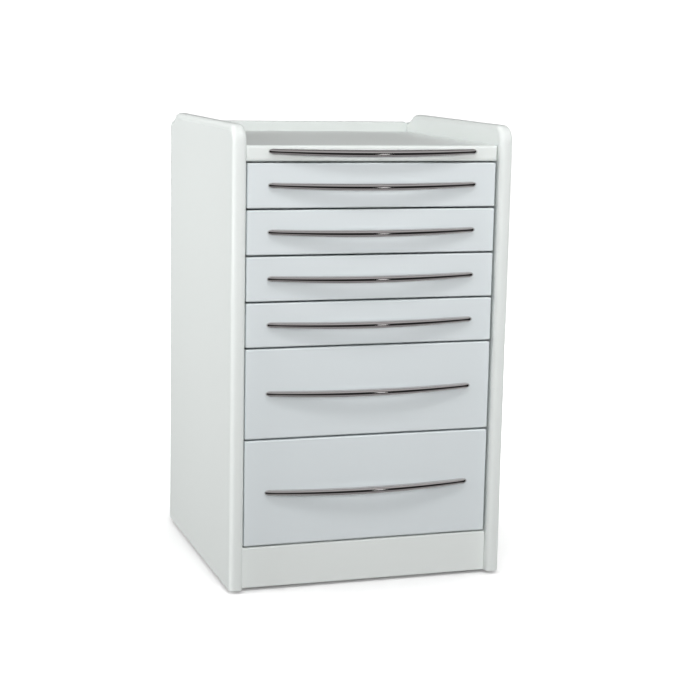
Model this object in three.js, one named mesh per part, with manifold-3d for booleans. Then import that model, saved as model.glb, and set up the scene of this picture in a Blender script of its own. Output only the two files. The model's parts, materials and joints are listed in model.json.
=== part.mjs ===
// A drawer cart for a ward or treatment room: two thick side panels with rounded edges, a rear panel that
// stands up behind a pull-out worktop, four shallow and two deep drawers with bow handles, and a plinth that
// hides four swivel castors. Millimetres, +Z up, the drawers face -Y. The origin is on the floor, below the
// centre of the whole object.

import * as THREE from "three";
import Module from "manifold-3d";
import { mergeVertices } from "three/addons/utils/BufferGeometryUtils.js";

const wasm = await Module();
wasm.setup();

// Case
const WIDTH = 500;
const CASE_DEPTH = 500;
const HEIGHT = 805;
const FLOOR_GAP = 6; // under the side panels, back panel and plinth
const SIDE_THICKNESS = 24;
const SIDE_EDGE_RADIUS = 9;
const SIDE_CORNER_RADIUS = 29; // front top corners of the side panels
const SIDE_REAR_RADIUS = 12; // rear top corners
const SIDE_DROP_LENGTH = 50; // S-curve in which a side panel's top falls to the back panel's height
const SIDE_CURVE_POINTS = 8;
const SIDE_EDGE_FACETS = 3;
const BOARD = 18; // back panel, plinth and drawer fronts
const SHELF_BOARD = 16; // base panel and sub-top
const FIXED_GAP = 0.3; // between pieces that are fastened together
const SIDE_RISE = 35; // side panels above the worktop
const BACK_RISE = 19; // back panel above the worktop

// Fronts, from the top drawer down
const DRAWER_PITCHES = [78.75, 78.75, 78.75, 78.75, 159, 189];
const FRONT_RECESS = 12.5; // fronts behind the side panels' front edges
const FRONT_SIDE_GAP = 3;
const FRONT_GAP = 3; // between one front and the next
const FRONT_EDGE_RADIUS = 3;
const FRONT_EDGE_FACETS = 2;
const PLINTH_RECESS = 2; // plinth behind the drawer fronts

// Worktop
const WORKTOP_THICKNESS = 27;
const WORKTOP_SIDE_GAP = 0.8;
const WORKTOP_REAR_GAP = 0.6;
const WORKTOP_UNDER_GAP = 3; // to the sub-top
const WORKTOP_FRONT_GAP = 1; // to the line above the top drawer
const WORKTOP_HANDLE_RISE = 3.2; // handle's ends above the middle of the worktop's front edge
const GROOVE_HEIGHT = 10;
const GROOVE_DEPTH = 8;
const GROOVE_FRONT_STOP = 40; // solid board left in front of the groove
const GUIDE_CLEARANCE = 0.5;
const GUIDE_LENGTH = 405;
const GUIDE_REAR_GAP = 10; // to the back panel

// Bow handles
const HANDLE_LENGTH = 374;
const HANDLE_PROJECTION = 19.5;
const HANDLE_DEPTH = 7.5; // front to back, in the middle
const HANDLE_END_DEPTH = 5;
const HANDLE_HEIGHT = 13; // in the middle
const HANDLE_END_HEIGHT = 10;
const HANDLE_SAG = 3.2; // middle below the ends
const HANDLE_RISE = 0.8; // ends above the middle of a drawer front
const HANDLE_TIP = 9; // length over which each end rounds off
const HANDLE_STEPS = 20;
const HANDLE_FACETS = 6; // round the bowed front of the section
const TIP_LEAST = 0.15; // size left at the very end, as a share of the section

// Drawer boxes and slides
const BOX_WALL = 2;
const BOX_SIDE_SPACE = 13; // box to side panel, for the slide
const BOX_DEPTH = 430;
const BOX_LIFT = 8; // above the line between two fronts
const BOX_HEADROOM = 22; // below the next line
const BOX_REAR_DROP = 6; // rear wall below the side walls
const SLIDE_STEEL = 1.5;
const RAIL_HEIGHT = 35;
const RAIL_FLANGE = 9.7;
const RAIL_LENGTH = 440;
const SLIDE_HEIGHT = 25;
const SLIDE_FLANGE = 9.7;
const SLIDE_LENGTH = 425;
const SLIDE_SETBACK = 4; // behind the drawer front
const SLIDE_ABOVE_BOX_FLOOR = 22; // slide's middle above the box's underside

// Castors
const WHEEL_RADIUS = 22.5;
const WHEEL_WIDTH = 18;
const WHEEL_EDGE = 3.5;
const WHEEL_BORE = 3.2;
const WHEEL_HUB_RADIUS = 9;
const WHEEL_HUB_WIDTH = 20;
const WHEEL_FACETS = 24;
const AXLE_RADIUS = 3;
const CASTOR_HEIGHT = 61;
const CASTOR_TRAIL = 18;
const CASTOR_X = 165;
const CASTOR_FRONT_Y = -162;
const CASTOR_REAR_Y = 185;
const FORK_INSIDE = 21;
const FORK_STEEL = 2.5;
const FORK_BOSS = 6;
const FORK_OVERLAP = 1; // cheeks and stem into the crown
const CHEEK_FRONT = 12; // cheeks' reach in front of the swivel
const CROWN_RADIUS = 16;
const CROWN_TOP = 56;
const CROWN_THICKNESS = 7;
const STEM_RADIUS = 5;
const CROWN_FACETS = 20;
const PIN_FACETS = 12;
const AXLE_STAND_OUT = 1; // axle's ends beyond the cheeks
const CHEEK_ARC_POINTS = 6;

// Levels and planes that follow from these
const HANDLE_PROUD = HANDLE_PROJECTION - FRONT_RECESS; // beyond the side panels
const BACK_Y = (CASE_DEPTH + HANDLE_PROUD) / 2;
const CASE_FRONT_Y = BACK_Y - CASE_DEPTH;
const FRONT_Y = CASE_FRONT_Y + FRONT_RECESS; // face of the drawer fronts
const FRONT_REAR_Y = FRONT_Y + BOARD;
const BACK_INNER_Y = BACK_Y - BOARD;
const INSIDE = WIDTH / 2 - SIDE_THICKNESS; // side panel's inner face
const WORKTOP_TOP = HEIGHT - SIDE_RISE;
const WORKTOP_BOTTOM = WORKTOP_TOP - WORKTOP_THICKNESS;
const TOP_LINE = WORKTOP_BOTTOM - WORKTOP_FRONT_GAP; // line above the top drawer
const SUB_TOP_TOP = WORKTOP_BOTTOM - WORKTOP_UNDER_GAP;

const laminate = new THREE.MeshStandardMaterial({ color: 0xe9efed, roughness: 0.42, metalness: 0 });
const lacquer = new THREE.MeshStandardMaterial({ color: 0xd3dbdd, roughness: 0.35, metalness: 0 });
const worktopLaminate = new THREE.MeshStandardMaterial({ color: 0xf1f4f3, roughness: 0.3, metalness: 0 });
const chrome = new THREE.MeshStandardMaterial({ color: 0xb9bbbd, roughness: 0.12, metalness: 1 });
const paintedSteel = new THREE.MeshStandardMaterial({ color: 0xd9dcdc, roughness: 0.5, metalness: 0.1 });
const zincSteel = new THREE.MeshStandardMaterial({ color: 0xa9adb0, roughness: 0.35, metalness: 0.9 });
const aluminium = new THREE.MeshStandardMaterial({ color: 0xc4c7c9, roughness: 0.35, metalness: 0.9 });
const tyreRubber = new THREE.MeshStandardMaterial({ color: 0x6d7072, roughness: 0.7, metalness: 0 });

const cart = new THREE.Group();

function place(name, geometry, material) {
  const mesh = new THREE.Mesh(geometry, material);
  mesh.name = name;
  cart.add(mesh);
  return mesh;
}

// A box between two corners.
function block(x0, x1, y0, y1, z0, z1) {
  const box = new THREE.BoxGeometry(x1 - x0, y1 - y0, z1 - z0);
  return box.translate((x0 + x1) / 2, (y0 + y1) / 2, (z0 + z1) / 2);
}

function toSolid(geometry) {
  const bare = geometry.clone();
  bare.deleteAttribute("normal");
  bare.deleteAttribute("uv");
  const merged = mergeVertices(bare, 1e-4);
  const vertProperties = new Float32Array(merged.attributes.position.array);
  const triVerts = new Uint32Array(merged.index.array);
  return new wasm.Manifold(new wasm.Mesh({ numProp: 3, vertProperties, triVerts }));
}

function toGeometry(solid) {
  const mesh = solid.getMesh();
  const geometry = new THREE.BufferGeometry();
  geometry.setAttribute("position", new THREE.BufferAttribute(mesh.vertProperties, 3));
  geometry.setIndex(new THREE.BufferAttribute(mesh.triVerts, 1));
  geometry.computeVertexNormals();
  return geometry;
}

function cut(body, ...tools) {
  return toGeometry(tools.reduce((left, tool) => left.subtract(toSolid(tool)), toSolid(body)));
}

function join(...pieces) {
  return toGeometry(pieces.map(toSolid).reduce((whole, piece) => whole.add(piece)));
}

// A flat outline in Y and Z, made thick along X about x = 0.
function sidewaysPlate(outline, thickness, edgeRadius = 0, arcPoints = CHEEK_ARC_POINTS) {
  const plate = new THREE.ExtrudeGeometry(outline, {
    depth: thickness - 2 * edgeRadius,
    bevelEnabled: edgeRadius > 0,
    bevelSize: edgeRadius,
    bevelOffset: -edgeRadius,
    bevelThickness: edgeRadius,
    bevelSegments: SIDE_EDGE_FACETS,
    curveSegments: arcPoints,
  });
  plate.translate(0, 0, -thickness / 2 + edgeRadius);
  plate.rotateY(Math.PI / 2);
  return plate.rotateX(Math.PI / 2);
}

// Side panel: bullnosed edges, a rounded front corner, and a top that falls in an S-curve near the rear. The
// bottom is cut square.
function sidePanel() {
  const below = FLOOR_GAP - 2 * SIDE_EDGE_RADIUS;
  const rearTop = WORKTOP_TOP + BACK_RISE;
  const dropEnd = BACK_Y - SIDE_REAR_RADIUS;
  const dropStart = dropEnd - SIDE_DROP_LENGTH;
  const dropMiddle = (dropStart + dropEnd) / 2;
  const frontCentre = [CASE_FRONT_Y + SIDE_CORNER_RADIUS, HEIGHT - SIDE_CORNER_RADIUS];
  const outline = new THREE.Shape();
  outline.moveTo(CASE_FRONT_Y, below);
  outline.lineTo(BACK_Y, below);
  outline.lineTo(BACK_Y, rearTop - SIDE_REAR_RADIUS);
  outline.absarc(dropEnd, rearTop - SIDE_REAR_RADIUS, SIDE_REAR_RADIUS, 0, Math.PI / 2);
  outline.bezierCurveTo(dropMiddle, rearTop, dropMiddle, HEIGHT, dropStart, HEIGHT);
  outline.lineTo(frontCentre[0], HEIGHT);
  outline.absarc(...frontCentre, SIDE_CORNER_RADIUS, Math.PI / 2, Math.PI);
  const panel = sidewaysPlate(outline, SIDE_THICKNESS, SIDE_EDGE_RADIUS, SIDE_CURVE_POINTS);
  const reach = CASE_DEPTH;
  return cut(panel, block(-reach, reach, -reach, reach, below - SIDE_THICKNESS, FLOOR_GAP));
}

// A front with eased edges, its face at FRONT_Y.
function easedFront(halfWidth, bottom, top) {
  const outline = new THREE.Shape();
  outline.moveTo(-halfWidth, bottom);
  outline.lineTo(halfWidth, bottom);
  outline.lineTo(halfWidth, top);
  outline.lineTo(-halfWidth, top);
  const front = new THREE.ExtrudeGeometry(outline, {
    depth: BOARD - 2 * FRONT_EDGE_RADIUS,
    bevelSize: FRONT_EDGE_RADIUS,
    bevelOffset: -FRONT_EDGE_RADIUS,
    bevelThickness: FRONT_EDGE_RADIUS,
    bevelSegments: FRONT_EDGE_FACETS,
  });
  front.rotateX(Math.PI / 2);
  return front.translate(0, FRONT_REAR_Y - FRONT_EDGE_RADIUS, 0);
}

// Bow handle: a D section swept across the front. It rests on the front near its ends and stands off it in
// the middle. The steps are closer together towards the ends, where the section rounds off.
function bowHandle(middleZ) {
  const section = new THREE.Shape();
  for (let i = 0; i <= HANDLE_FACETS; i += 1) {
    const angle = (i / HANDLE_FACETS - 0.5) * Math.PI;
    const point = [Math.cos(angle), Math.sin(angle) / 2];
    if (i === 0) {
      section.moveTo(...point);
    } else {
      section.lineTo(...point);
    }
  }
  const handle = new THREE.ExtrudeGeometry(section, { depth: 1, steps: HANDLE_STEPS, bevelEnabled: false });
  const points = handle.attributes.position;
  for (let i = 0; i < points.count; i += 1) {
    const along = Math.sin((points.getZ(i) - 0.5) * Math.PI);
    const fromEnd = (HANDLE_LENGTH / 2) * (1 - Math.abs(along));
    const roundOff = Math.max(0, 1 - fromEnd / HANDLE_TIP);
    const size = Math.max(TIP_LEAST, Math.sqrt(1 - roundOff * roundOff));
    const bow = 1 - along * along;
    const outer = HANDLE_END_DEPTH + (HANDLE_PROJECTION - HANDLE_END_DEPTH) * bow;
    const inner = Math.max(FIXED_GAP, outer - HANDLE_DEPTH);
    const height = (HANDLE_END_HEIGHT + (HANDLE_HEIGHT - HANDLE_END_HEIGHT) * bow) * size;
    const standOff = inner + points.getX(i) * (outer - inner) * size;
    const z = middleZ - HANDLE_SAG * bow - points.getY(i) * height;
    points.setXYZ(i, (along * HANDLE_LENGTH) / 2, FRONT_Y - standOff, z);
  }
  return handle;
}

// A folded steel drawer body, open at the top, its rear wall a little lower.
function drawerBox(bottom, top) {
  const half = INSIDE - BOX_SIDE_SPACE;
  const front = FRONT_REAR_Y + FIXED_GAP;
  const rear = front + BOX_DEPTH;
  const outer = block(-half, half, front, rear, bottom, top);
  const inner = block(
    -half + BOX_WALL,
    half - BOX_WALL,
    front + BOX_WALL,
    rear - BOX_WALL,
    bottom + BOX_WALL,
    top + BOX_WALL,
  );
  const rearDrop = block(
    -half + BOX_WALL,
    half - BOX_WALL,
    rear - 2 * BOX_WALL,
    rear + BOX_WALL,
    top - BOX_REAR_DROP,
    top + BOX_WALL,
  );
  return cut(outer, inner, rearDrop);
}

// A channel that runs from front to back. Its web is at webX and its flanges point towards flangeX.
function channel(webX, flangeX, height, startY, length, middleZ) {
  const inwards = Math.sign(flangeX - webX);
  const half = height / 2;
  const corners = [
    [webX, -half],
    [flangeX, -half],
    [flangeX, -half + SLIDE_STEEL],
    [webX + inwards * SLIDE_STEEL, -half + SLIDE_STEEL],
    [webX + inwards * SLIDE_STEEL, half - SLIDE_STEEL],
    [flangeX, half - SLIDE_STEEL],
    [flangeX, half],
    [webX, half],
  ];
  const outline = new THREE.Shape(corners.map(([x, z]) => new THREE.Vector2(x, z)));
  const bar = new THREE.ExtrudeGeometry(outline, { depth: length, bevelEnabled: false });
  bar.rotateX(Math.PI / 2);
  return bar.translate(0, startY + length, middleZ);
}

// One drawer with its slides, and the two rails on the side panels that carry it.
function addDrawer(name, lowerLine, pitch) {
  const bottom = lowerLine + FRONT_GAP / 2;
  const top = lowerLine + pitch - FRONT_GAP / 2;
  const boxBottom = lowerLine + BOX_LIFT;
  const slideZ = boxBottom + SLIDE_ABOVE_BOX_FLOOR;
  const slideStart = FRONT_REAR_Y + SLIDE_SETBACK;
  place(`${name}_front`, easedFront(INSIDE - FRONT_SIDE_GAP, bottom, top), lacquer);
  place(`${name}_handle`, bowHandle((bottom + top) / 2 + HANDLE_RISE), chrome);
  place(`${name}_box`, drawerBox(boxBottom, lowerLine + pitch - BOX_HEADROOM), paintedSteel);
  for (const [side, label] of [[-1, "left"], [1, "right"]]) {
    const railWeb = side * (INSIDE - FIXED_GAP);
    const slideWeb = side * (INSIDE - BOX_SIDE_SPACE + FIXED_GAP);
    const railEdge = railWeb - side * RAIL_FLANGE;
    const slideEdge = slideWeb + side * SLIDE_FLANGE;
    const rail = channel(railWeb, railEdge, RAIL_HEIGHT, slideStart, RAIL_LENGTH, slideZ);
    const slide = channel(slideWeb, slideEdge, SLIDE_HEIGHT, slideStart, SLIDE_LENGTH, slideZ);
    place(`${name}_rail_${label}`, rail, zincSteel);
    place(`${name}_slide_${label}`, slide, zincSteel);
  }
}

// Pull-out board with a groove in each side, and the two guide bars that it runs on.
function addWorktop() {
  const half = INSIDE - WORKTOP_SIDE_GAP;
  const rear = BACK_INNER_Y - WORKTOP_REAR_GAP;
  const grooveZ = (WORKTOP_TOP + WORKTOP_BOTTOM) / 2;
  const board = block(-half, half, FRONT_Y, rear, WORKTOP_BOTTOM, WORKTOP_TOP);
  const grooves = [-1, 1].map((side) => {
    const groove = block(
      half - GROOVE_DEPTH,
      half + GROOVE_DEPTH,
      FRONT_Y + GROOVE_FRONT_STOP,
      rear + GROOVE_DEPTH,
      grooveZ - GROOVE_HEIGHT / 2,
      grooveZ + GROOVE_HEIGHT / 2,
    );
    return side > 0 ? groove : groove.translate(-2 * half, 0, 0);
  });
  place("worktop", cut(board, ...grooves), worktopLaminate);
  place("worktop_handle", bowHandle(grooveZ + WORKTOP_HANDLE_RISE), chrome);

  const guideRear = BACK_INNER_Y - GUIDE_REAR_GAP;
  for (const [side, label] of [[-1, "left"], [1, "right"]]) {
    const outer = side * (INSIDE - FIXED_GAP);
    const inner = side * (half - GROOVE_DEPTH + GUIDE_CLEARANCE);
    const guide = block(
      Math.min(outer, inner),
      Math.max(outer, inner),
      guideRear - GUIDE_LENGTH,
      guideRear,
      grooveZ - GROOVE_HEIGHT / 2 + GUIDE_CLEARANCE,
      grooveZ + GROOVE_HEIGHT / 2 - GUIDE_CLEARANCE,
    );
    place(`worktop_guide_${label}`, guide, aluminium);
  }
}

// Side, back, base, sub-top and plinth boards.
function addCase(lowestLine) {
  for (const [side, label] of [[-1, "left"], [1, "right"]]) {
    place(`${label}_side_panel`, sidePanel().translate(side * (INSIDE + SIDE_THICKNESS / 2), 0, 0), laminate);
  }
  const half = INSIDE - FIXED_GAP;
  const innerRear = BACK_INNER_Y - FIXED_GAP;
  const plinthFront = FRONT_Y + PLINTH_RECESS;
  const plinthRear = plinthFront + BOARD;
  const backTop = WORKTOP_TOP + BACK_RISE;
  place("back_panel", block(-half, half, BACK_INNER_Y, BACK_Y, FLOOR_GAP, backTop), laminate);
  place(
    "base_panel",
    block(-half, half, plinthRear + FIXED_GAP, innerRear, CASTOR_HEIGHT, CASTOR_HEIGHT + SHELF_BOARD),
    laminate,
  );
  place(
    "sub_top",
    block(-half, half, plinthRear, innerRear, SUB_TOP_TOP - SHELF_BOARD, SUB_TOP_TOP),
    laminate,
  );
  place(
    "plinth_panel",
    block(-half, half, plinthFront, plinthRear, FLOOR_GAP, lowestLine - FRONT_GAP / 2),
    laminate,
  );
}

// Fork: a round crown with a stem, two cheeks that reach back to the axle, and the axle pin.
function castorFork() {
  const cheek = new THREE.Shape();
  cheek.moveTo(-CHEEK_FRONT, CROWN_TOP - CROWN_THICKNESS);
  cheek.lineTo(CASTOR_TRAIL - FORK_BOSS, WHEEL_RADIUS);
  cheek.absarc(CASTOR_TRAIL, WHEEL_RADIUS, FORK_BOSS, Math.PI, 2 * Math.PI);
  cheek.lineTo(CROWN_RADIUS, CROWN_TOP - FORK_OVERLAP);
  cheek.lineTo(-CHEEK_FRONT, CROWN_TOP - FORK_OVERLAP);
  const cheekX = (FORK_INSIDE + FORK_STEEL) / 2;
  const crown = new THREE.CylinderGeometry(CROWN_RADIUS, CROWN_RADIUS, CROWN_THICKNESS, CROWN_FACETS);
  crown.rotateX(Math.PI / 2).translate(0, 0, CROWN_TOP - CROWN_THICKNESS / 2);
  const stemTop = CASTOR_HEIGHT - FIXED_GAP;
  const stemLength = stemTop - CROWN_TOP + FORK_OVERLAP;
  const stem = new THREE.CylinderGeometry(STEM_RADIUS, STEM_RADIUS, stemLength, PIN_FACETS);
  stem.rotateX(Math.PI / 2).translate(0, 0, (stemTop + CROWN_TOP - FORK_OVERLAP) / 2);
  const axleLength = FORK_INSIDE + 2 * (FORK_STEEL + AXLE_STAND_OUT);
  const axle = new THREE.CylinderGeometry(AXLE_RADIUS, AXLE_RADIUS, axleLength, PIN_FACETS);
  axle.rotateZ(Math.PI / 2).translate(0, CASTOR_TRAIL, WHEEL_RADIUS);
  return join(
    crown,
    stem,
    axle,
    sidewaysPlate(cheek, FORK_STEEL).translate(-cheekX, 0, 0),
    sidewaysPlate(cheek, FORK_STEEL).translate(cheekX, 0, 0),
  );
}

// Wheel: a tread with eased shoulders and a hub that stands out a little on both faces.
function castorWheel() {
  const half = WHEEL_WIDTH / 2;
  const hubHalf = WHEEL_HUB_WIDTH / 2;
  const profile = [
    [WHEEL_BORE, -hubHalf],
    [WHEEL_HUB_RADIUS, -hubHalf],
    [WHEEL_HUB_RADIUS + 1, -half],
    [WHEEL_RADIUS - WHEEL_EDGE, -half],
    [WHEEL_RADIUS, -half + WHEEL_EDGE],
    [WHEEL_RADIUS, half - WHEEL_EDGE],
    [WHEEL_RADIUS - WHEEL_EDGE, half],
    [WHEEL_HUB_RADIUS + 1, half],
    [WHEEL_HUB_RADIUS, hubHalf],
    [WHEEL_BORE, hubHalf],
    [WHEEL_BORE, -hubHalf],
  ];
  const wheel = new THREE.LatheGeometry(
    profile.map(([radius, across]) => new THREE.Vector2(radius, across)),
    WHEEL_FACETS,
  );
  return wheel.rotateZ(-Math.PI / 2).translate(0, CASTOR_TRAIL, WHEEL_RADIUS);
}

function addCastors() {
  for (const [end, y] of [["front", CASTOR_FRONT_Y], ["rear", CASTOR_REAR_Y]]) {
    for (const [side, label] of [[-1, "left"], [1, "right"]]) {
      const name = `castor_${end}_${label}`;
      place(`${name}_fork`, castorFork(), zincSteel).position.set(side * CASTOR_X, y, 0);
      place(`${name}_wheel`, castorWheel(), tyreRubber).position.set(side * CASTOR_X, y, 0);
    }
  }
}

let line = TOP_LINE;
DRAWER_PITCHES.forEach((pitch, index) => {
  line -= pitch;
  addDrawer(`drawer_${index + 1}`, line, pitch);
});
addCase(line);
addWorktop();
addCastors();

export default cart;
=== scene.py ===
import json
import math
import random

import bmesh
import bpy
from mathutils import Matrix, Vector


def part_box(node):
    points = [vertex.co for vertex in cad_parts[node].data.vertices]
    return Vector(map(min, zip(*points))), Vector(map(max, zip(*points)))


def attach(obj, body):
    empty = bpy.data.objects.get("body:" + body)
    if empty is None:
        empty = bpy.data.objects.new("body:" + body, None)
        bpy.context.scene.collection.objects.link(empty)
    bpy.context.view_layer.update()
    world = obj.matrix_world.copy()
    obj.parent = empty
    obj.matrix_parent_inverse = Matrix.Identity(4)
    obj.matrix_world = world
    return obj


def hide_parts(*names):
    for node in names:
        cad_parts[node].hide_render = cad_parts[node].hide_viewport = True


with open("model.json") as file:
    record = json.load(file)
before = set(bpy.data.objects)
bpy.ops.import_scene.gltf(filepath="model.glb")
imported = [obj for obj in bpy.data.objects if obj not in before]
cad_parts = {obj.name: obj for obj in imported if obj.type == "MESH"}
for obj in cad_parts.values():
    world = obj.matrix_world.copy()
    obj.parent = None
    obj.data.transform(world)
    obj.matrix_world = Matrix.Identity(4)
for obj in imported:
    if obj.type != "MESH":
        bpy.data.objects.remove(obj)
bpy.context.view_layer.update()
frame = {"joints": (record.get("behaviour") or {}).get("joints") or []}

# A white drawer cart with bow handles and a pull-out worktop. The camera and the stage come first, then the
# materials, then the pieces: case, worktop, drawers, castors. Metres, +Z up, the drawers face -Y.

MM = 0.001
SCENE = bpy.context.scene

# ---------------------------------------------------------------- camera and stage

CAMERA_PLACE = (-0.9403, -2.9991, 0.9352)
CAMERA_YAW = math.radians(18.09)  # turned to the right of straight ahead
CAMERA_PITCH = math.radians(10.06)  # tipped down
CAMERA_ROLL = math.radians(1.18)
CAMERA_LENS = 88.12
SENSOR = 36.0


def add_camera():
    """The camera, with its turn built from yaw, pitch and roll."""
    forward = Vector(
        (
            math.sin(CAMERA_YAW) * math.cos(CAMERA_PITCH),
            math.cos(CAMERA_YAW) * math.cos(CAMERA_PITCH),
            -math.sin(CAMERA_PITCH),
        )
    )
    right = Vector((math.cos(CAMERA_YAW), -math.sin(CAMERA_YAW), 0))
    up = right.cross(forward)
    rolled_right = right * math.cos(CAMERA_ROLL) + up * math.sin(CAMERA_ROLL)
    rolled_up = up * math.cos(CAMERA_ROLL) - right * math.sin(CAMERA_ROLL)
    data = bpy.data.cameras.new("camera")
    data.lens = CAMERA_LENS
    data.sensor_width = SENSOR
    camera = bpy.data.objects.new("camera", data)
    turn = Matrix((rolled_right, rolled_up, -forward)).transposed()
    camera.matrix_world = Matrix.Translation(CAMERA_PLACE) @ turn.to_4x4()
    SCENE.collection.objects.link(camera)
    SCENE.camera = camera


FLOOR_RADIUS = 40
BACKDROP_HEIGHT = 20
STAGE_SEGMENTS = 96
FLOOR_GAIN = 1.0
FLOOR_NEAR = 0.28  # radius round the cart in which the floor has no light of its own
FLOOR_FAR = 0.8  # radius from which it has all of it
BACKDROP_GLOW = 1.05


def add_stage():
    """A white floor that runs to a white backdrop far away. Neither lights the cart or shows in its
    gloss."""
    bm = bmesh.new()
    bmesh.ops.create_circle(bm, cap_ends=True, radius=FLOOR_RADIUS, segments=STAGE_SEGMENTS)
    floor = add_object("floor", bm, floor_material())
    bm = bmesh.new()
    bmesh.ops.create_circle(bm, radius=FLOOR_RADIUS, segments=STAGE_SEGMENTS)
    rim = bmesh.ops.extrude_edge_only(bm, edges=bm.edges[:])["geom"]
    upper = [part for part in rim if isinstance(part, bmesh.types.BMVert)]
    bmesh.ops.translate(bm, vec=(0, 0, BACKDROP_HEIGHT), verts=upper)
    backdrop = add_object("backdrop", bm, backdrop_material())
    backdrop.visible_shadow = False
    for obj in (floor, backdrop):
        obj.visible_glossy = False
        obj.visible_diffuse = False


def add_area_light(name, place, aim, size, power):
    data = bpy.data.lights.new(name, "AREA")
    data.shape = "RECTANGLE"
    data.size, data.size_y = size
    data.energy = power
    light = bpy.data.objects.new(name, data)
    light.location = place
    light.rotation_mode = "QUATERNION"
    light.rotation_quaternion = (Vector(aim) - Vector(place)).to_track_quat("-Z", "Y")
    SCENE.collection.objects.link(light)
    return light


LIGHTS = (  # name, place, aim, size, power
    ("front", (0.1, -2.3, 0.85), (0, -0.2, 0.45), (1.6, 1.2), 28),
    ("above", (-0.1, -1.2, 2.6), (0, -0.2, 0.5), (0.7, 0.5), 17),
    ("side", (-2.35, 0.15, 1.0), (-0.2, 0, 0.5), (1.8, 1.3), 53),
    ("glint", (0.92, -2.7, 0.45), (0, -0.25, 0.45), (0.1, 0.9), 0.35),
    ("right", (2.4, 0.3, 0.62), (0.2, 0, 0.45), (1.4, 0.6), 28),
    ("rear", (0.5, 2.6, 0.58), (0, 0.2, 0.45), (1.6, 0.6), 42),
)
WORLD_BANDS = (  # upward part of the direction, brightness
    (-1.0, 0.10),
    (-0.90, 0.36),
    (-0.58, 0.36),
    (-0.46, 0.015),
    (0.40, 0.015),
    (0.52, 0.60),
    (0.85, 0.50),
    (1.0, 0.45),
)
WORLD_TINT = (1.0, 0.985, 0.985)
WORLD_REAR_SHARE = 0.35  # brightness behind the cart, as a share of that in front
WORLD_TURN = 0.3  # rearward part of the direction over which it falls to that


def add_light():
    """Soft boxes that the chrome doesn't mirror, a narrow strip that only glosses mirror, and a room that
    is dark at eye level, which gives the chrome its dark line."""
    for name, place, aim, size, power in LIGHTS:
        light = add_area_light(name, place, aim, size, power)
        if name == "glint":
            light.visible_diffuse = False
        else:
            light.visible_glossy = False
    world = bpy.data.worlds.new("room")
    world.use_nodes = True
    SCENE.world = world
    nodes, links = world.node_tree.nodes, world.node_tree.links
    nodes.clear()
    direction = nodes.new("ShaderNodeTexCoord")
    parts = nodes.new("ShaderNodeSeparateXYZ")
    height = nodes.new("ShaderNodeMapRange")
    height.inputs["From Min"].default_value = -1
    depth = nodes.new("ShaderNodeMapRange")
    depth.inputs["From Min"].default_value = -WORLD_TURN
    depth.inputs["From Max"].default_value = WORLD_TURN
    depth.inputs["To Min"].default_value = 1
    depth.inputs["To Max"].default_value = WORLD_REAR_SHARE
    ramp = nodes.new("ShaderNodeValToRGB")
    background = nodes.new("ShaderNodeBackground")
    output = nodes.new("ShaderNodeOutputWorld")
    links.new(direction.outputs["Generated"], parts.inputs[0])
    links.new(parts.outputs["Z"], height.inputs["Value"])
    links.new(parts.outputs["Y"], depth.inputs["Value"])
    links.new(height.outputs[0], ramp.inputs[0])
    links.new(ramp.outputs["Color"], background.inputs["Color"])
    links.new(depth.outputs[0], background.inputs["Strength"])
    links.new(background.outputs[0], output.inputs[0])
    stops = ramp.color_ramp.elements
    for i, (level, value) in enumerate(WORLD_BANDS):
        position = (level + 1) / 2
        stop = stops[i] if i < 2 else stops.new(position)
        stop.position = position
        stop.color = (*(value * tint for tint in WORLD_TINT), 1)
    SCENE.view_settings.view_transform = "Standard"


# ---------------------------------------------------------------- materials


def new_material(name, colour, roughness, metallic=0.0):
    """A material with its Principled shader, for a recipe to add to."""
    material = bpy.data.materials.new(name)
    material.use_nodes = True
    shader = material.node_tree.nodes["Principled BSDF"]
    shader.inputs["Base Color"].default_value = (*colour, 1)
    shader.inputs["Roughness"].default_value = roughness
    shader.inputs["Metallic"].default_value = metallic
    return material, material.node_tree.nodes, material.node_tree.links, shader


DRIFT_SCALE = 5
DRIFT_DETAIL = 4
GLOSS_GRAIN_SHARE = 12  # the relief's grain is this much finer than the gloss's
RELIEF_DETAIL = 2
NOISE_LOW, NOISE_HIGH = 0.3, 0.7  # most of the noise lies between these


def add_noise(nodes, links, scale, detail, stretch):
    """Noise in the piece's own place, stretched along an axis where the surface is drawn or rolled."""
    place = nodes.new("ShaderNodeTexCoord")
    mapping = nodes.new("ShaderNodeMapping")
    mapping.inputs["Scale"].default_value = stretch
    noise = nodes.new("ShaderNodeTexNoise")
    noise.inputs["Scale"].default_value = scale
    noise.inputs["Detail"].default_value = detail
    links.new(place.outputs["Object"], mapping.inputs["Vector"])
    links.new(mapping.outputs[0], noise.inputs["Vector"])
    return noise


def vary_colour(nodes, links, shader, noise, dark, light):
    mix = nodes.new("ShaderNodeMix")
    mix.data_type = "RGBA"
    mix.inputs["A"].default_value = (*dark, 1)
    mix.inputs["B"].default_value = (*light, 1)
    links.new(noise.outputs["Fac"], mix.inputs["Factor"])
    links.new(mix.outputs["Result"], shader.inputs["Base Color"])


def vary_roughness(nodes, links, shader, noise, low, high):
    spread = nodes.new("ShaderNodeMapRange")
    spread.inputs["From Min"].default_value = NOISE_LOW
    spread.inputs["From Max"].default_value = NOISE_HIGH
    spread.inputs["To Min"].default_value = low
    spread.inputs["To Max"].default_value = high
    links.new(noise.outputs["Fac"], spread.inputs["Value"])
    links.new(spread.outputs[0], shader.inputs["Roughness"])


def add_bump(nodes, links, shader, noise, strength, distance):
    bump = nodes.new("ShaderNodeBump")
    bump.inputs["Strength"].default_value = strength
    bump.inputs["Distance"].default_value = distance
    links.new(noise.outputs["Fac"], bump.inputs["Height"])
    links.new(bump.outputs[0], shader.inputs["Normal"])


def tinted(colour, factor):
    return tuple(min(1.0, part * factor) for part in colour)


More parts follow.
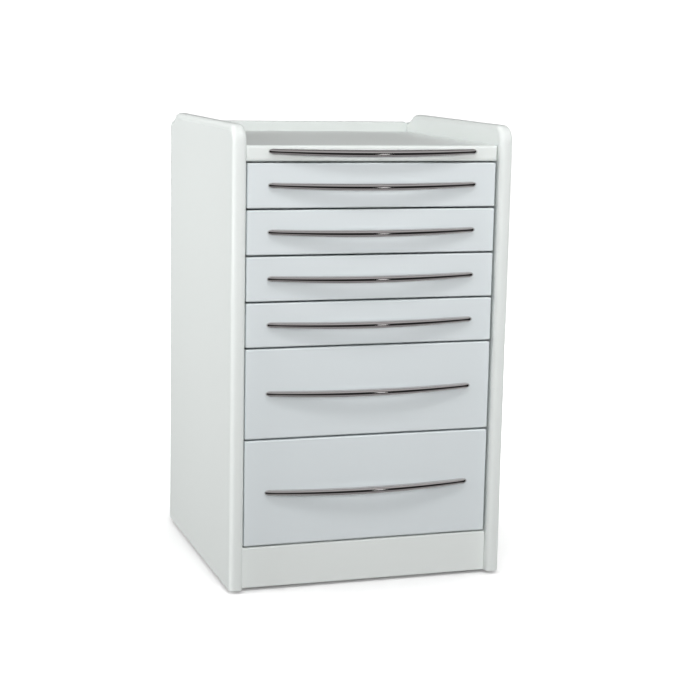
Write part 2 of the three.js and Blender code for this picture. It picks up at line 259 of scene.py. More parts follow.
def surface(name, colour, rough, grain, bump, metallic=0.0, spread=0.02, stretch=(1, 1, 1)):
    """A surface with slow colour drift, uneven gloss and a fine relief. rough is (low, high), grain is the
    relief's scale and bump is (strength, depth)."""
    material, nodes, links, shader = new_material(name, colour, sum(rough) / 2, metallic)
    drift = add_noise(nodes, links, DRIFT_SCALE, DRIFT_DETAIL, stretch)
    vary_colour(nodes, links, shader, drift, tinted(colour, 1 - spread), tinted(colour, 1 + spread))
    gloss = add_noise(nodes, links, grain / GLOSS_GRAIN_SHARE, DRIFT_DETAIL, stretch)
    vary_roughness(nodes, links, shader, gloss, *rough)
    relief = add_noise(nodes, links, grain, RELIEF_DETAIL, stretch)
    add_bump(nodes, links, shader, relief, *bump)
    return material


WHITE_LAMINATE = (0.83, 0.868, 0.85)
COOL_LACQUER = (0.765, 0.818, 0.836)
COAT_WEIGHT = 0.35
COAT_ROUGHNESS = 0.12


def laminate_material():
    """White laminate with a fine pearl relief."""
    return surface("case_laminate", WHITE_LAMINATE, (0.36, 0.42), 900, (0.03, 0.0002), spread=0.008)


def worktop_material():
    """The same white laminate, a little more matt."""
    return surface("worktop_laminate", WHITE_LAMINATE, (0.42, 0.48), 700, (0.02, 0.0002), spread=0.008)


def lacquer_material():
    """Cool white lacquer, sprayed: a faint orange peel under a glossy coat."""
    material = surface("front_lacquer", COOL_LACQUER, (0.3, 0.36), 260, (0.03, 0.0004), spread=0.008)
    shader = material.node_tree.nodes["Principled BSDF"]
    shader.inputs["Coat Weight"].default_value = COAT_WEIGHT
    shader.inputs["Coat Roughness"].default_value = COAT_ROUGHNESS
    return material


def chrome_material():
    """Polished chrome, drawn along the handle."""
    colour = (0.66, 0.635, 0.635)
    along = (0.15, 1, 1)
    return surface("handle_chrome", colour, (0.05, 0.09), 500, (0.015, 0.0001), 1, 0.015, along)


def powder_coat_material():
    return surface("drawer_steel", (0.66, 0.68, 0.68), (0.42, 0.55), 1500, (0.25, 0.0002))


def zinc_material():
    """Zinc-plated steel, rolled from front to back."""
    colour = (0.55, 0.57, 0.58)
    along = (1, 0.2, 1)
    return surface("zinc_steel", colour, (0.25, 0.42), 400, (0.08, 0.0001), 1, 0.06, along)


def aluminium_material():
    """Extruded aluminium, drawn from front to back."""
    colour = (0.68, 0.69, 0.7)
    along = (1, 0.03, 1)
    return surface("guide_aluminium", colour, (0.28, 0.4), 900, (0.1, 0.0001), 1, 0.03, along)


def tyre_material():
    return surface("castor_tyre", (0.155, 0.16, 0.165), (0.6, 0.75), 900, (0.3, 0.0002), spread=0.06)


def hub_material():
    return surface("castor_hub", (0.33, 0.34, 0.35), (0.38, 0.48), 700, (0.15, 0.0002), spread=0.03)


def floor_material():
    """Paper white: shaded near the cart, burnt out farther away."""
    material = bpy.data.materials.new("floor")
    material.use_nodes = True
    nodes, links = material.node_tree.nodes, material.node_tree.links
    nodes.clear()
    diffuse = nodes.new("ShaderNodeBsdfDiffuse")
    diffuse.inputs["Color"].default_value = (FLOOR_GAIN, FLOOR_GAIN, FLOOR_GAIN, 1)
    place = nodes.new("ShaderNodeTexCoord")
    reach = nodes.new("ShaderNodeVectorMath")
    reach.operation = "LENGTH"
    fade = nodes.new("ShaderNodeMapRange")
    fade.interpolation_type = "SMOOTHSTEP"
    fade.inputs["From Min"].default_value = FLOOR_NEAR
    fade.inputs["From Max"].default_value = FLOOR_FAR
    glow = nodes.new("ShaderNodeEmission")
    both = nodes.new("ShaderNodeAddShader")
    output = nodes.new("ShaderNodeOutputMaterial")
    links.new(place.outputs["Object"], reach.inputs[0])
    links.new(reach.outputs["Value"], fade.inputs["Value"])
    links.new(fade.outputs[0], glow.inputs["Strength"])
    links.new(diffuse.outputs[0], both.inputs[0])
    links.new(glow.outputs[0], both.inputs[1])
    links.new(both.outputs[0], output.inputs["Surface"])
    return material


def backdrop_material():
    material, _, _, shader = new_material("backdrop", (1, 1, 1), 1)
    shader.inputs["Emission Color"].default_value = (1, 1, 1, 1)
    shader.inputs["Emission Strength"].default_value = BACKDROP_GLOW
    return material


# ---------------------------------------------------------------- mesh helpers

SHARP_ANGLE = math.radians(32)
NEARLY = 1e-6
WELD = 1e-7


def smooth(mesh):
    """Smooth shading where the faces turn gently."""
    mesh.polygons.foreach_set("use_smooth", [True] * len(mesh.polygons))
    mesh.set_sharp_from_angle(angle=SHARP_ANGLE)


def place_mesh(name, bm, material):
    """An object from a bmesh, which is used up."""
    mesh = bpy.data.meshes.new(name)
    bm.to_mesh(mesh)
    bm.free()
    smooth(mesh)
    mesh.materials.append(material)
    obj = bpy.data.objects.new(name, mesh)
    SCENE.collection.objects.link(obj)
    return obj


def add_object(name, bm, material):
    """An object from a bmesh, its faces pointing out."""
    bmesh.ops.recalc_face_normals(bm, faces=bm.faces[:])
    return place_mesh(name, bm, material)


def weigh_normals(obj):
    """Keeps the flat faces flat next to their rounded edges."""
    modifier = obj.modifiers.new("weighted_normals", "WEIGHTED_NORMAL")
    modifier.keep_sharp = True
    modifier.weight = 100
    return obj


def box_mesh(low, high):
    bm = bmesh.new()
    bmesh.ops.create_cube(bm, size=1)
    low, high = Vector(low), Vector(high)
    bmesh.ops.scale(bm, vec=high - low, verts=bm.verts)
    bmesh.ops.translate(bm, vec=(low + high) / 2, verts=bm.verts)
    return bm


def round_edges(bm, radius, segments, chosen=None):
    """Rounds the edges that chosen(edge) picks, or all of them."""
    edges = [edge for edge in bm.edges if chosen is None or chosen(edge)]
    bmesh.ops.bevel(
        bm, geom=edges, offset=radius, segments=segments, profile=0.5, affect="EDGES", clamp_overlap=True
    )
    return bm


def same(a, b):
    return abs(a - b) < NEARLY


def carve(obj, *cutters):
    """Cuts the cutters out of obj, and removes them."""
    for cutter in cutters:
        modifier = obj.modifiers.new("cut", "BOOLEAN")
        modifier.operation = "DIFFERENCE"
        modifier.solver = "EXACT"
        modifier.object = cutter
    bpy.context.view_layer.update()
    shaped = obj.evaluated_get(bpy.context.evaluated_depsgraph_get())
    mesh = bpy.data.meshes.new_from_object(shaped)
    obj.modifiers.clear()
    old, obj.data = obj.data, mesh
    bpy.data.meshes.remove(old)
    for cutter in cutters:
        bpy.data.objects.remove(cutter)
    smooth(mesh)


def lathe_mesh(profile, segments, axis="Z", centre=(0, 0, 0)):
    """A closed turned body about Z or X. profile is (radius, height) pairs that start and end on the
    axis, or close on themselves."""
    bm = bmesh.new()
    rings = []
    for radius, height in profile:
        if radius == 0:
            rings.append([bm.verts.new((0, 0, height))])
            continue
        turn = 2 * math.pi / segments
        ring = [(radius * math.cos(i * turn), radius * math.sin(i * turn), height) for i in range(segments)]
        rings.append([bm.verts.new(point) for point in ring])
    for a, b in zip(rings, rings[1:]):
        for i in range(segments):
            j = (i + 1) % segments
            corners = [a[i % len(a)], a[j % len(a)], b[j % len(b)], b[i % len(b)]]
            kept = [v for n, v in enumerate(corners) if v not in corners[:n]]
            bm.faces.new(kept)
    bmesh.ops.remove_doubles(bm, verts=bm.verts, dist=WELD)
    turn = Matrix.Rotation(math.pi / 2, 4, "Y") if axis == "X" else Matrix()
    bm.transform(Matrix.Translation(centre) @ turn)
    return bm


def prism_mesh(outline, axis, start, end):
    """A flat outline made thick along an axis. The outline's pairs are the other two axes in order."""
    bm = bmesh.new()
    places = {
        "X": lambda a, b: (start, a, b),
        "Y": lambda a, b: (a, start, b),
        "Z": lambda a, b: (a, b, start),
    }
    face = bm.faces.new([bm.verts.new(places[axis](a, b)) for a, b in outline])
    grown = bmesh.ops.extrude_face_region(bm, geom=[face])["geom"]
    step = Vector([end - start if name == axis else 0 for name in "XYZ"])
    bmesh.ops.translate(bm, vec=step, verts=[v for v in grown if isinstance(v, bmesh.types.BMVert)])
    return bm


def arc(centre_a, centre_b, radius, start, end, steps):
    """Points on an arc, angles in degrees."""
    angles = [math.radians(start + (end - start) * i / steps) for i in range(steps + 1)]
    return [(centre_a + radius * math.cos(t), centre_b + radius * math.sin(t)) for t in angles]


def joined(name, meshes, material):
    """One object from several bmeshes."""
    whole = bmesh.new()
    for bm in meshes:
        part = bpy.data.meshes.new("part")
        bmesh.ops.recalc_face_normals(bm, faces=bm.faces[:])
        bm.to_mesh(part)
        bm.free()
        whole.from_mesh(part)
        bpy.data.meshes.remove(part)
    return place_mesh(name, whole, material)


def fit(obj, body, slot, *replaced):
    """Puts a piece on its body and hides the CAD nodes that it stands for. Its finish, slot, is not used.
    """
    if replaced:
        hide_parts(*replaced)
    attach(obj, body)


# ---------------------------------------------------------------- screws

SCREW_RECESS_WIDTH = 0.16  # half the slot's width, of the head's radius
SCREW_RECESS_REACH = 0.62  # half the slot's length, of the head's radius
SCREW_RECESS_FLOOR = 0.35  # of the head's height
SCREW_FOOT = (0.96, 0.12)  # eased lower edge, of the head's radius and height
SCREW_SHOULDER = 0.35  # where the dome starts, of the head's height
SCREW_DOME_ANGLES = (0, 0.35, 0.7, 1.05, 1.35)
SCREW_SIDES = 28
BIG_HEAD = (4.2 * MM, 2.6 * MM)  # (radius, height)
SMALL_HEAD = (3.2 * MM, 1.6 * MM)


def screw_template(radius, height):
    """A pan-head screw with a cross recess, on Z, its seat at z = 0, as a mesh to copy."""
    foot_radius, foot_height = SCREW_FOOT
    dome = []
    for angle in SCREW_DOME_ANGLES:
        level = SCREW_SHOULDER + (1 - SCREW_SHOULDER) * math.sin(angle)
        dome.append((radius * math.cos(angle), height * level))
    profile = [(0, 0), (radius * foot_radius, 0), (radius, height * foot_height), *dome, (0, height)]
    head = add_object("screw_template", lathe_mesh(profile, SCREW_SIDES), ZINC)
    reach, width = radius * SCREW_RECESS_REACH, radius * SCREW_RECESS_WIDTH
    floor, above = height * SCREW_RECESS_FLOOR, height * 2
    along = add_object("cut_a", box_mesh((-reach, -width, floor), (reach, width, above)), ZINC)
    across = add_object("cut_b", box_mesh((-width, -reach, floor), (width, reach, above)), ZINC)
    carve(head, along, across)
    mesh = head.data
    bpy.data.objects.remove(head)
    return mesh


def screws(name, template, places, direction, body):
    """One piece that holds a copy of the screw at each place, its head towards direction."""
    turn = Vector(direction).to_track_quat("Z", "Y").to_matrix().to_4x4()
    whole = bmesh.new()
    random.seed(len(name))
    for place in places:
        copy = template.copy()
        spin = Matrix.Rotation(random.uniform(0, math.pi), 4, "Z")
        copy.transform(Matrix.Translation(place) @ turn @ spin)
        whole.from_mesh(copy)
        bpy.data.meshes.remove(copy)
    fit(place_mesh(name, whole, ZINC), body, "zinc_steel")


# ---------------------------------------------------------------- case

PANEL_EDGE_RADIUS = 9 * MM
PANEL_CORNER_RADIUS = 29 * MM
PANEL_REAR_RADIUS = 12 * MM
PANEL_DROP_LENGTH = 50 * MM  # S-curve in which the top falls to the back panel's height
SEAM_INSET = 10 * MM
SEAM_WIDTH = 1.5 * MM
SEAM_DEPTH = 0.9 * MM
BOARD_EDGE = 1.2 * MM
BACK_TOP_RADIUS = 4 * MM
PLINTH_RADIUS = 2.5 * MM
BOARD_EDGE_STEPS = 3
BACK_TOP_STEPS = 5
PLINTH_STEPS = 4
CORNER_STEPS = 16
EDGE_STEPS = 8


def panel_rim(low, high, rear_top, inset):
    """The side panel's outline in Y and Z, from the rear foot over the top to the front foot, moved
    inwards. The S-curve is a cubic Bezier curve that is level at both ends."""
    drop_end = high.y - PANEL_REAR_RADIUS
    drop_start = drop_end - PANEL_DROP_LENGTH
    rise = high.z - rear_top
    rim = [(high.y - inset, low.z)]
    rim += arc(drop_end, rear_top - PANEL_REAR_RADIUS, PANEL_REAR_RADIUS - inset, 0, 90, CORNER_STEPS)
    for i in range(1, 2 * CORNER_STEPS):
        t = i / (2 * CORNER_STEPS)
        ease = 3 * t * t - 2 * t * t * t
        along = drop_end - PANEL_DROP_LENGTH * (1.5 * t * (1 - t) + t * t * t)
        slope_y = -PANEL_DROP_LENGTH * (1.5 - 3 * t + 3 * t * t)
        slope_z = rise * 6 * t * (1 - t)
        length = math.hypot(slope_y, slope_z)
        level = rear_top + rise * ease
        rim.append((along - inset * slope_z / length, level + inset * slope_y / length))
    rim.append((drop_start, high.z - inset))
    r = PANEL_CORNER_RADIUS
    rim += arc(low.y + r, high.z - r, r - inset, 90, 180, CORNER_STEPS)
    rim.append((low.y + inset, low.z))
    return rim


def panel_section(low_x, high_x, outward):
    """Across the panel's edge: (x, inset) pairs from one face over the bullnose to the other, with a fine
    seam beside the bullnose on the outward face."""
    r = PANEL_EDGE_RADIUS
    angles = [i * math.pi / 2 / EDGE_STEPS for i in range(EDGE_STEPS + 1)]
    near = [(low_x + r - r * math.cos(t), r - r * math.sin(t)) for t in angles]
    far = [(high_x - r + r * math.cos(t), r - r * math.sin(t)) for t in reversed(angles)]
    section = near + far
    face_x, sign = (low_x, 1) if outward < 0 else (high_x, -1)
    half = SEAM_WIDTH / 2
    seam = [
        (face_x, SEAM_INSET + half),
        (face_x + sign * SEAM_DEPTH, SEAM_INSET + half / 2),
        (face_x + sign * SEAM_DEPTH, SEAM_INSET - half / 2),
        (face_x, SEAM_INSET - half),
    ]
    return seam + section if outward < 0 else section + seam[::-1]


def add_side_panel(node, outward):
    """Thick board with bullnosed edges, cut square at the bottom."""
    low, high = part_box(node)
    rear_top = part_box("back_panel")[1].z
    bm = bmesh.new()
    rows = []
    for x, inset in panel_section(low.x, high.x, outward):
        rows.append([bm.verts.new((x, y, z)) for y, z in panel_rim(low, high, rear_top, inset)])
    for a, b in zip(rows, rows[1:]):
        for i in range(len(a) - 1):
            bm.faces.new((a[i], a[i + 1], b[i + 1], b[i]))
    bm.faces.new(rows[0])
    bm.faces.new(rows[-1])
    bm.faces.new([row[0] for row in rows] + [row[-1] for row in reversed(rows)])
    panel = weigh_normals(add_object(node + "_board", bm, LAMINATE))
    fit(panel, "case", "case_laminate", node)


def add_board(node, radius=BOARD_EDGE, chosen=None, steps=BOARD_EDGE_STEPS):
    """A square board of the case, its chosen edges rounded."""
    low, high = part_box(node)
    bm = round_edges(box_mesh(low, high), radius, steps, chosen)
    board = weigh_normals(add_object(node + "_board", bm, LAMINATE))
    fit(board, "case", "case_laminate", node)


def add_case():
    add_side_panel("left_side_panel", -1)
    add_side_panel("right_side_panel", 1)
    back_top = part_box("back_panel")[1].z
    low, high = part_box("plinth_panel")

    def at_back_top(edge):
        return all(same(v.co.z, back_top) for v in edge.verts)

    def at_plinth_top(edge):
        return all(same(v.co.y, low.y) and same(v.co.z, high.z) for v in edge.verts)

    add_board("back_panel", BACK_TOP_RADIUS, at_back_top, BACK_TOP_STEPS)
    add_board("plinth_panel", PLINTH_RADIUS, at_plinth_top, PLINTH_STEPS)
    add_board("base_panel")
    add_board("sub_top")


# ---------------------------------------------------------------- worktop

WORKTOP_FRONT_RADIUS = 5 * MM
WORKTOP_FRONT_STEPS = 6
GROOVE_DEPTH = 8 * MM
GROOVE_STOP = 40 * MM
GUIDE_PLAY = 0.5 * MM
GUIDE_EDGE = 0.8 * MM
GUIDE_EDGE_STEPS = 3


def add_worktop():
    """Board with rounded front edges and a groove in each side, and the two bars in the grooves."""
    low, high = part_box("worktop")

    def at_front(edge):
        return all(same(v.co.y, low.y) for v in edge.verts)

    bm = box_mesh(low, high)
    round_edges(bm, WORKTOP_FRONT_RADIUS, WORKTOP_FRONT_STEPS, at_front)
    board = add_object("worktop_board", bm, WORKTOP)
    guide_low, guide_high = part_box("worktop_guide_right")
    groove_low, groove_high = guide_low.z - GUIDE_PLAY, guide_high.z + GUIDE_PLAY
    cutters = []
    for side in (-1, 1):
        outer, inner = side * (high.x + GROOVE_DEPTH), side * (high.x - GROOVE_DEPTH)
        start = (min(outer, inner), low.y + GROOVE_STOP, groove_low)
        end = (max(outer, inner), high.y + GROOVE_DEPTH, groove_high)
        cutters.append(add_object("cut_groove", box_mesh(start, end), WORKTOP))
    carve(board, *cutters)
    weigh_normals(board)
    fit(board, "worktop", "worktop_laminate", "worktop")
    for label in ("left", "right"):
        node = f"worktop_guide_{label}"
        bar = round_edges(box_mesh(*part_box(node)), GUIDE_EDGE, GUIDE_EDGE_STEPS)
        guide = add_object(node + "_bar", bar, ALUMINIUM)
        fit(weigh_normals(guide), "case", "guide_aluminium", node)


# ---------------------------------------------------------------- handles

HANDLE_STATIONS = 90
HANDLE_RING = 20
HANDLE_END_DEPTH = 5 * MM
HANDLE_DEPTH = 7.5 * MM
HANDLE_END_HEIGHT = 10 * MM
HANDLE_HEIGHT = 13 * MM
HANDLE_SAG = 3.2 * MM
HANDLE_TIP = 9 * MM
FIXED_GAP = 0.3 * MM
SECTION_POWER = 0.8  # below 1 the bowed face is flatter than an ellipse
TIP_LEAST = 0.06  # size left at the very end, as a share of the section


def add_handle(node, body, face_y):
    """Bow handle: a D section that rests on the front near its ends and stands off it in the middle.
    The rings are closer together towards the ends."""
    low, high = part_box(node)
    half = (high.x - low.x) / 2
    projection = face_y - low.y
    middle_z = low.z + HANDLE_HEIGHT / 2 + HANDLE_SAG
    bm = bmesh.new()
    rings = []
    for i in range(HANDLE_STATIONS + 1):
        along = math.sin((i / HANDLE_STATIONS - 0.5) * math.pi)
        from_end = half * (1 - abs(along))
        round_off = max(0.0, 1 - from_end / HANDLE_TIP)
        size = max(TIP_LEAST, math.sqrt(1 - round_off * round_off))
        bow = 1 - along * along
        outer = HANDLE_END_DEPTH + (projection - HANDLE_END_DEPTH) * bow
        inner = max(FIXED_GAP, outer - HANDLE_DEPTH)
        height = (HANDLE_END_HEIGHT + (HANDLE_HEIGHT - HANDLE_END_HEIGHT) * bow) * size
        ring = []
        for k in range(HANDLE_RING + 1):
            t = (k / HANDLE_RING - 0.5) * math.pi
            depth = inner + math.cos(t) ** SECTION_POWER * (outer - inner) * size
            z = middle_z - HANDLE_SAG * bow + math.sin(t) * height / 2
            ring.append(bm.verts.new((along * half, face_y - depth, z)))
        rings.append(ring)
    for a, b in zip(rings, rings[1:]):
        for k in range(HANDLE_RING + 1):
            m = (k + 1) % (HANDLE_RING + 1)
            bm.faces.new((a[k], a[m], b[m], b[k]))
    bm.faces.new(rings[0])
    bm.faces.new(rings[-1])
    handle = add_object(node + "_bow", bm, CHROME)
    fit(handle, body, "handle_chrome", node)


# ---------------------------------------------------------------- drawers

FRONT_RADIUS = 2.6 * MM
FRONT_STEPS = 5
BOX_WALL = 2 * MM
BOX_FOLD = 3 * MM
BOX_FOLD_STEPS = 4
BOX_REAR_DROP = 6 * MM
RIM_RADIUS = 0.5 * MM
RIM_STEPS = 2
RIM_ANGLE = math.radians(60)
STEEL = 1.5 * MM
FOLD_OUTSIDE = 2.4 * MM
FOLD_INSIDE = 1.1 * MM
FOLD_STEPS = 5
HANDLE_SCREW_SPACING = 320 * MM
SCREW_BELOW_RIM = 12 * MM
BALL_RADIUS = 1.6 * MM
BALL_STEP = 9 * MM
BALL_SIDES, BALL_RINGS = 14, 8
CAGE_START = 6 * MM  # behind the rail's front end
CAGE_LENGTH = 95 * MM
CAGE_HALF_WIDTH = 2.6 * MM
CAGE_HALF_THICKNESS = 0.4 * MM
CAGE_EDGE = 0.2 * MM
CAGE_EDGE_STEPS = 2


def add_front(node, body):
    """Drawer front with eased edges."""
    bm = round_edges(box_mesh(*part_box(node)), FRONT_RADIUS, FRONT_STEPS)
    front = weigh_normals(add_object(node + "_board", bm, LACQUER))
    fit(front, body, "front_lacquer", node)


def add_box(node, body):
    """Folded steel tray with rounded rims and a lower rear wall."""
    low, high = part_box(node)
    wall = Vector((BOX_WALL, BOX_WALL, BOX_WALL))
    above = Vector((0, 0, 2 * BOX_WALL))

    def not_top(limit):
        return lambda edge: not all(same(v.co.z, limit) for v in edge.verts)

    outer = round_edges(box_mesh(low, high), BOX_FOLD, BOX_FOLD_STEPS, not_top(high.z))
    tray = add_object(node + "_tray", outer, POWDER_COAT)
    inside_high = high - Vector((BOX_WALL, BOX_WALL, 0)) + above
    inner = box_mesh(low + wall, inside_high)
    round_edges(inner, BOX_FOLD - BOX_WALL / 2, BOX_FOLD_STEPS, not_top(inside_high.z))
    drop_low = Vector((low.x + BOX_WALL, high.y - 2 * BOX_WALL, high.z - BOX_REAR_DROP))
    drop_high = Vector((high.x - BOX_WALL, high.y + BOX_WALL, high.z + BOX_WALL))
    carve(
        tray,
        add_object("cut_inside", inner, POWDER_COAT),
        add_object("cut_rear", box_mesh(drop_low, drop_high), POWDER_COAT),
    )
    bevel = tray.modifiers.new("rim", "BEVEL")
    bevel.width = RIM_RADIUS
    bevel.segments = RIM_STEPS
    bevel.limit_method = "ANGLE"
    bevel.angle_limit = RIM_ANGLE
    weigh_normals(tray)
    fit(tray, body, "drawer_steel", node)


def channel_outline(web_x, flange_x, low_z, high_z):
    """A channel's section with rounded folds: two flanges joined by a web."""
    sign = 1 if flange_x > web_x else -1
    near, far = FOLD_OUTSIDE, STEEL + FOLD_INSIDE

    def fold(from_web, z, radius, start, end):
        points = arc(0, 0, radius, start, end, FOLD_STEPS)
        return [(web_x + sign * (from_web + a), z + b) for a, b in points]

    outline = [(flange_x, low_z), (flange_x, low_z + STEEL)]
    outline += fold(far, low_z + far, FOLD_INSIDE, 270, 180)
    outline += fold(far, high_z - far, FOLD_INSIDE, 180, 90)
    outline += [(flange_x, high_z - STEEL), (flange_x, high_z)]
    outline += fold(near, high_z - near, FOLD_OUTSIDE, 90, 180)
    outline += fold(near, low_z + near, FOLD_OUTSIDE, 180, 270)
    return outline


def add_channel(node, body, side, web_outside):
    """A slide member. Its web is on the side panel if web_outside, or else on the drawer box."""
    low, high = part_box(node)
    outer_x, inner_x = (high.x, low.x) if side > 0 else (low.x, high.x)
    web, flange = (outer_x, inner_x) if web_outside else (inner_x, outer_x)
    bm = prism_mesh(channel_outline(web, flange, low.z, high.z), "Y", low.y, high.y)
    channel = add_object(node + "_channel", bm, ZINC)
    fit(channel, body, "zinc_steel", node)


def add_ball_cage(drawer, label):
    """Two rows of balls in a thin cage, between the rail and the slide at the rail's front end."""
    rail_low, rail_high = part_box(f"{drawer}_rail_{label}")
    slide_low, slide_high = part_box(f"{drawer}_slide_{label}")
    x = (rail_low.x + rail_high.x) / 2
    start = rail_low.y + CAGE_START
    parts = []
    rows = (
        (slide_high.z + rail_high.z - STEEL) / 2,
        (slide_low.z + rail_low.z + STEEL) / 2,
    )
    for z in rows:
        for k in range(int(CAGE_LENGTH / BALL_STEP)):
            bm = bmesh.new()
            place = Matrix.Translation((x, start + (k + 0.5) * BALL_STEP, z))
            bmesh.ops.create_uvsphere(
                bm, u_segments=BALL_SIDES, v_segments=BALL_RINGS, radius=BALL_RADIUS, matrix=place
            )
            parts.append(bm)
        cage = box_mesh(
            (x - CAGE_HALF_WIDTH, start, z - CAGE_HALF_THICKNESS),
            (x + CAGE_HALF_WIDTH, start + CAGE_LENGTH, z + CAGE_HALF_THICKNESS),
        )
        parts.append(round_edges(cage, CAGE_EDGE, CAGE_EDGE_STEPS))
    fit(joined(f"{drawer}_ball_cage_{label}", parts, ZINC), "case", "zinc_steel")


def add_drawer(name):
    """Front, handle, tray, on each side a rail, a slide member and balls, and the handle's screws."""
    add_front(f"{name}_front", name)
    add_handle(f"{name}_handle", name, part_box(f"{name}_front")[0].y)
    add_box(f"{name}_box", name)
    for side, label in ((-1, "left"), (1, "right")):
        add_channel(f"{name}_rail_{label}", "case", side, True)
        add_channel(f"{name}_slide_{label}", name, side, False)
        add_ball_cage(name, label)
    box_low, box_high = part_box(f"{name}_box")
    handle_z = sum(corner.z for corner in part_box(f"{name}_handle")) / 2
    screw_z = min(handle_z, box_high.z - SCREW_BELOW_RIM)
    inside_y = box_low.y + BOX_WALL
    places = [(side * HANDLE_SCREW_SPACING / 2, inside_y, screw_z) for side in (-1, 1)]
    screws(f"{name}_handle_screws", BIG_SCREW, places, (0, 1, 0), name)


# ---------------------------------------------------------------- castors

PLATE_HALF = 19 * MM
PLATE_THICKNESS = 2.4 * MM
PLATE_PLAY = 0.1 * MM  # under the base panel
PLATE_CORNER = 5 * MM
PLATE_CORNER_STEPS = 6
PLATE_EDGE = 0.4 * MM
PLATE_SCREW_OFFSET = 13.5 * MM
CUP_PLAY = 0.4 * MM  # under the plate
CUP_LOW = 49 * MM
CUP_RADIUS = 16 * MM
CUP_TOP = ((9 * MM, 0), (14.5 * MM, 0.8 * MM), (CUP_RADIUS, 2.2 * MM))  # (radius, depth below the top)
CUP_FOOT = ((CUP_RADIUS, 1.2 * MM), (15 * MM, 0), (6 * MM, 0), (5 * MM, -1.2 * MM), (0, -1.6 * MM))
CUP_SIDES = 40
FORK_HALF_GAP = 10.5 * MM
FORK_STEEL = 2.5 * MM
FORK_EDGE = 0.6 * MM
BOSS_RADIUS = 6 * MM
BOSS_STEPS = 14
CHEEK_FRONT = ((-10 * MM, 5.5 * MM), (-12 * MM, 4 * MM))  # (y, height above the cup's foot)
CHEEK_REAR = ((15.5 * MM, 3 * MM), (14 * MM, 5.5 * MM))
AXLE_RADIUS = 3 * MM
AXLE_HEAD = ((0, 0), (4.2 * MM, 0), (4.2 * MM, 0.9 * MM), (3.2 * MM, 1.3 * MM), (0, 1.5 * MM))
AXLE_SIDES = 28
EDGE_CUTS = 2
TYRE_HALF = 9 * MM
TYRE_DEPTH = 5 * MM
TYRE_CORNER = 3.5 * MM
TYRE_CORNER_STEPS = 6
TYRE_LIP = 0.6 * MM
TYRE_SIDES = 64
HUB_BORE = 3.2 * MM
HUB_MIDDLE = ((7.5 * MM, 10 * MM), (8.5 * MM, 9.4 * MM), (9 * MM, 6.5 * MM))  # (radius, half width)
HUB_RIM = ((3 * MM, 6.5 * MM), (2 * MM, 8.3 * MM), (0, 8.3 * MM))  # (depth below the tyre, half width)
HUB_SIDES = 48
RIBS = 6
RIB_START = 8 * MM
RIB_END = 2 * MM  # below the tyre
RIB_HALF_WIDTH = 8.2 * MM
RIB_HALF_THICKNESS = 0.7 * MM


def rounded_square(half, radius, steps):
    inner = half - radius
    outline = []
    for start, (x, y) in zip((0, 90, 180, 270), ((1, 1), (-1, 1), (-1, -1), (1, -1))):
        outline += arc(x * inner, y * inner, radius, start, start + 90, steps)
    return outline


def square_to(axis):
    """Chooses the edges that are square to the axis, "x" or "z"."""
    return lambda edge: same(*(getattr(vert.co, axis) for vert in edge.verts))


def add_top_plate(name, x, y, plate_low, plate_high):
    """Square plate under the base panel, with a screw in each corner."""
    outline = [(x + a, y + b) for a, b in rounded_square(PLATE_HALF, PLATE_CORNER, PLATE_CORNER_STEPS)]
    plate = prism_mesh(outline, "Z", plate_low, plate_high)
    round_edges(plate, PLATE_EDGE, EDGE_CUTS, square_to("z"))
    fit(add_object(f"{name}_top_plate", plate, ZINC), "case", "zinc_steel")
    offsets = [(a * PLATE_SCREW_OFFSET, b * PLATE_SCREW_OFFSET) for a in (-1, 1) for b in (-1, 1)]
    places = [(x + a, y + b, plate_low) for a, b in offsets]
    screws(f"{name}_plate_screws", SMALL_SCREW, places, (0, 0, -1), "case")


def add_fork(name, x, y, cup_top, axle):
    """Swivel cup, two cheeks, and the axle with a head outside each cheek."""
    cup = [(0, cup_top)]
    cup += [(radius, cup_top - depth) for radius, depth in CUP_TOP]
    cup += [(radius, CUP_LOW + height) for radius, height in CUP_FOOT]
    parts = [lathe_mesh(cup, CUP_SIDES, "Z", (x, y, 0))]
    _, axle_y, axle_z = axle
    cheek = [(y + CHEEK_FRONT[-1][0], CUP_LOW)]
    cheek += arc(axle_y, axle_z, BOSS_RADIUS, 180, 360, BOSS_STEPS)
    cheek += [(y + a, CUP_LOW + height) for a, height in CHEEK_REAR + CHEEK_FRONT]
    for side in (-1, 1):
        inner = x + side * FORK_HALF_GAP
        outer = inner + side * FORK_STEEL
        bm = prism_mesh(cheek, "X", inner, outer)
        round_edges(bm, FORK_EDGE, EDGE_CUTS, square_to("x"))
        parts.append(bm)
        head = [(radius, side * height) for radius, height in AXLE_HEAD]
        parts.append(lathe_mesh(head, AXLE_SIDES, "X", (outer, axle_y, axle_z)))
    ends = (-FORK_HALF_GAP, FORK_HALF_GAP)
    pin = [(0, ends[0]), (AXLE_RADIUS, ends[0]), (AXLE_RADIUS, ends[1]), (0, ends[1])]
    parts.append(lathe_mesh(pin, AXLE_SIDES, "X", axle))
    fit(joined(f"{name}_fork_steel", parts, ZINC), f"{name}_swivel", "zinc_steel", f"{name}_fork")


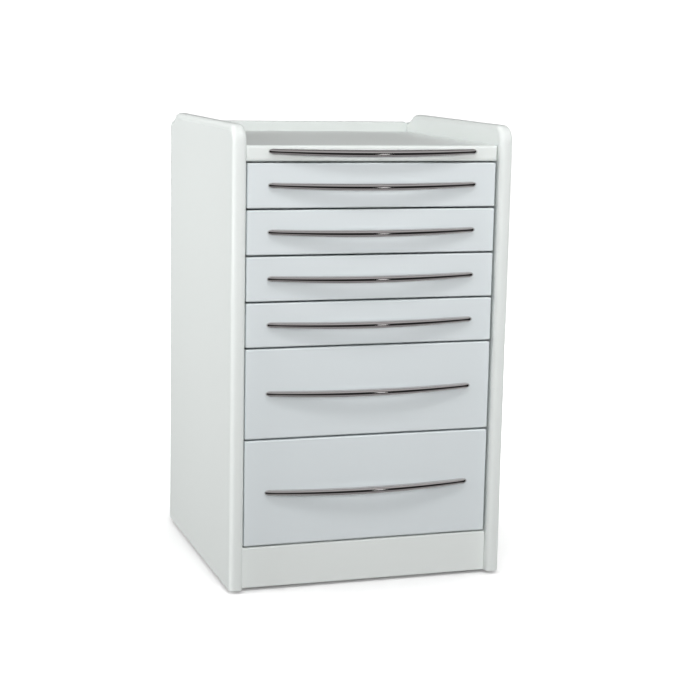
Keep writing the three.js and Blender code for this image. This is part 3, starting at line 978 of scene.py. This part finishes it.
def add_wheel(name, axle):
    """Tyre with rounded shoulders, and a hub with ribs and a bore."""
    radius = axle[2]
    rim = radius - TYRE_DEPTH
    shoulder = arc(0, 0, TYRE_CORNER, 0, 90, TYRE_CORNER_STEPS)
    tread = [(radius - TYRE_CORNER + b, -(TYRE_HALF - TYRE_CORNER + a)) for a, b in shoulder]
    tread += [(r, -h) for r, h in reversed(tread)]
    lips = ((rim, -TYRE_HALF + TYRE_LIP), (rim, TYRE_HALF - TYRE_LIP))
    tyre = lathe_mesh([lips[0], *tread, lips[1], lips[0]], TYRE_SIDES, "X", axle)
    fit(add_object(f"{name}_tyre", tyre, TYRE), f"{name}_roller", "castor_tyre", f"{name}_wheel")
    hub = [(HUB_BORE, -HUB_MIDDLE[0][1])]
    hub += [(r, -h) for r, h in HUB_MIDDLE]
    hub += [(rim - depth, -h) for depth, h in HUB_RIM]
    hub += [(r, -h) for r, h in reversed(hub)]
    hub.append(hub[0])
    parts = [lathe_mesh(hub, HUB_SIDES, "X", axle)]
    for k in range(RIBS):
        rib = box_mesh(
            (-RIB_HALF_WIDTH, RIB_START, -RIB_HALF_THICKNESS),
            (RIB_HALF_WIDTH, rim - RIB_END, RIB_HALF_THICKNESS),
        )
        spin = Matrix.Rotation(k * 2 * math.pi / RIBS, 4, "X")
        rib.transform(Matrix.Translation(axle) @ spin)
        parts.append(rib)
    fit(joined(f"{name}_hub", parts, HUB), f"{name}_roller", "castor_tyre", f"{name}_wheel")


def add_castor(name):
    """Top plate on the case, fork that swivels under it, and wheel that spins in the fork."""
    joints = {joint["name"]: joint for joint in frame["joints"]}
    x, y, _ = joints[f"{name}_turn"]["pos_m"]
    _, axle_y, axle_z = joints[f"{name}_spin"]["pos_m"]
    axle = (x, axle_y, axle_z)
    plate_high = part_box("base_panel")[0].z - PLATE_PLAY
    plate_low = plate_high - PLATE_THICKNESS
    add_top_plate(name, x, y, plate_low, plate_high)
    add_fork(name, x, y, plate_low - CUP_PLAY, axle)
    add_wheel(name, axle)


# ---------------------------------------------------------------- build

LAMINATE = laminate_material()
WORKTOP = worktop_material()
LACQUER = lacquer_material()
CHROME = chrome_material()
POWDER_COAT = powder_coat_material()
ZINC = zinc_material()
ALUMINIUM = aluminium_material()
TYRE = tyre_material()
HUB = hub_material()

add_camera()
add_stage()
add_light()
BIG_SCREW = screw_template(*BIG_HEAD)
SMALL_SCREW = screw_template(*SMALL_HEAD)
add_case()
add_worktop()
add_handle("worktop_handle", "worktop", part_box("worktop")[0].y)
for number in range(1, 7):
    add_drawer(f"drawer_{number}")
for end in ("front", "rear"):
    for label in ("left", "right"):
        add_castor(f"castor_{end}_{label}")
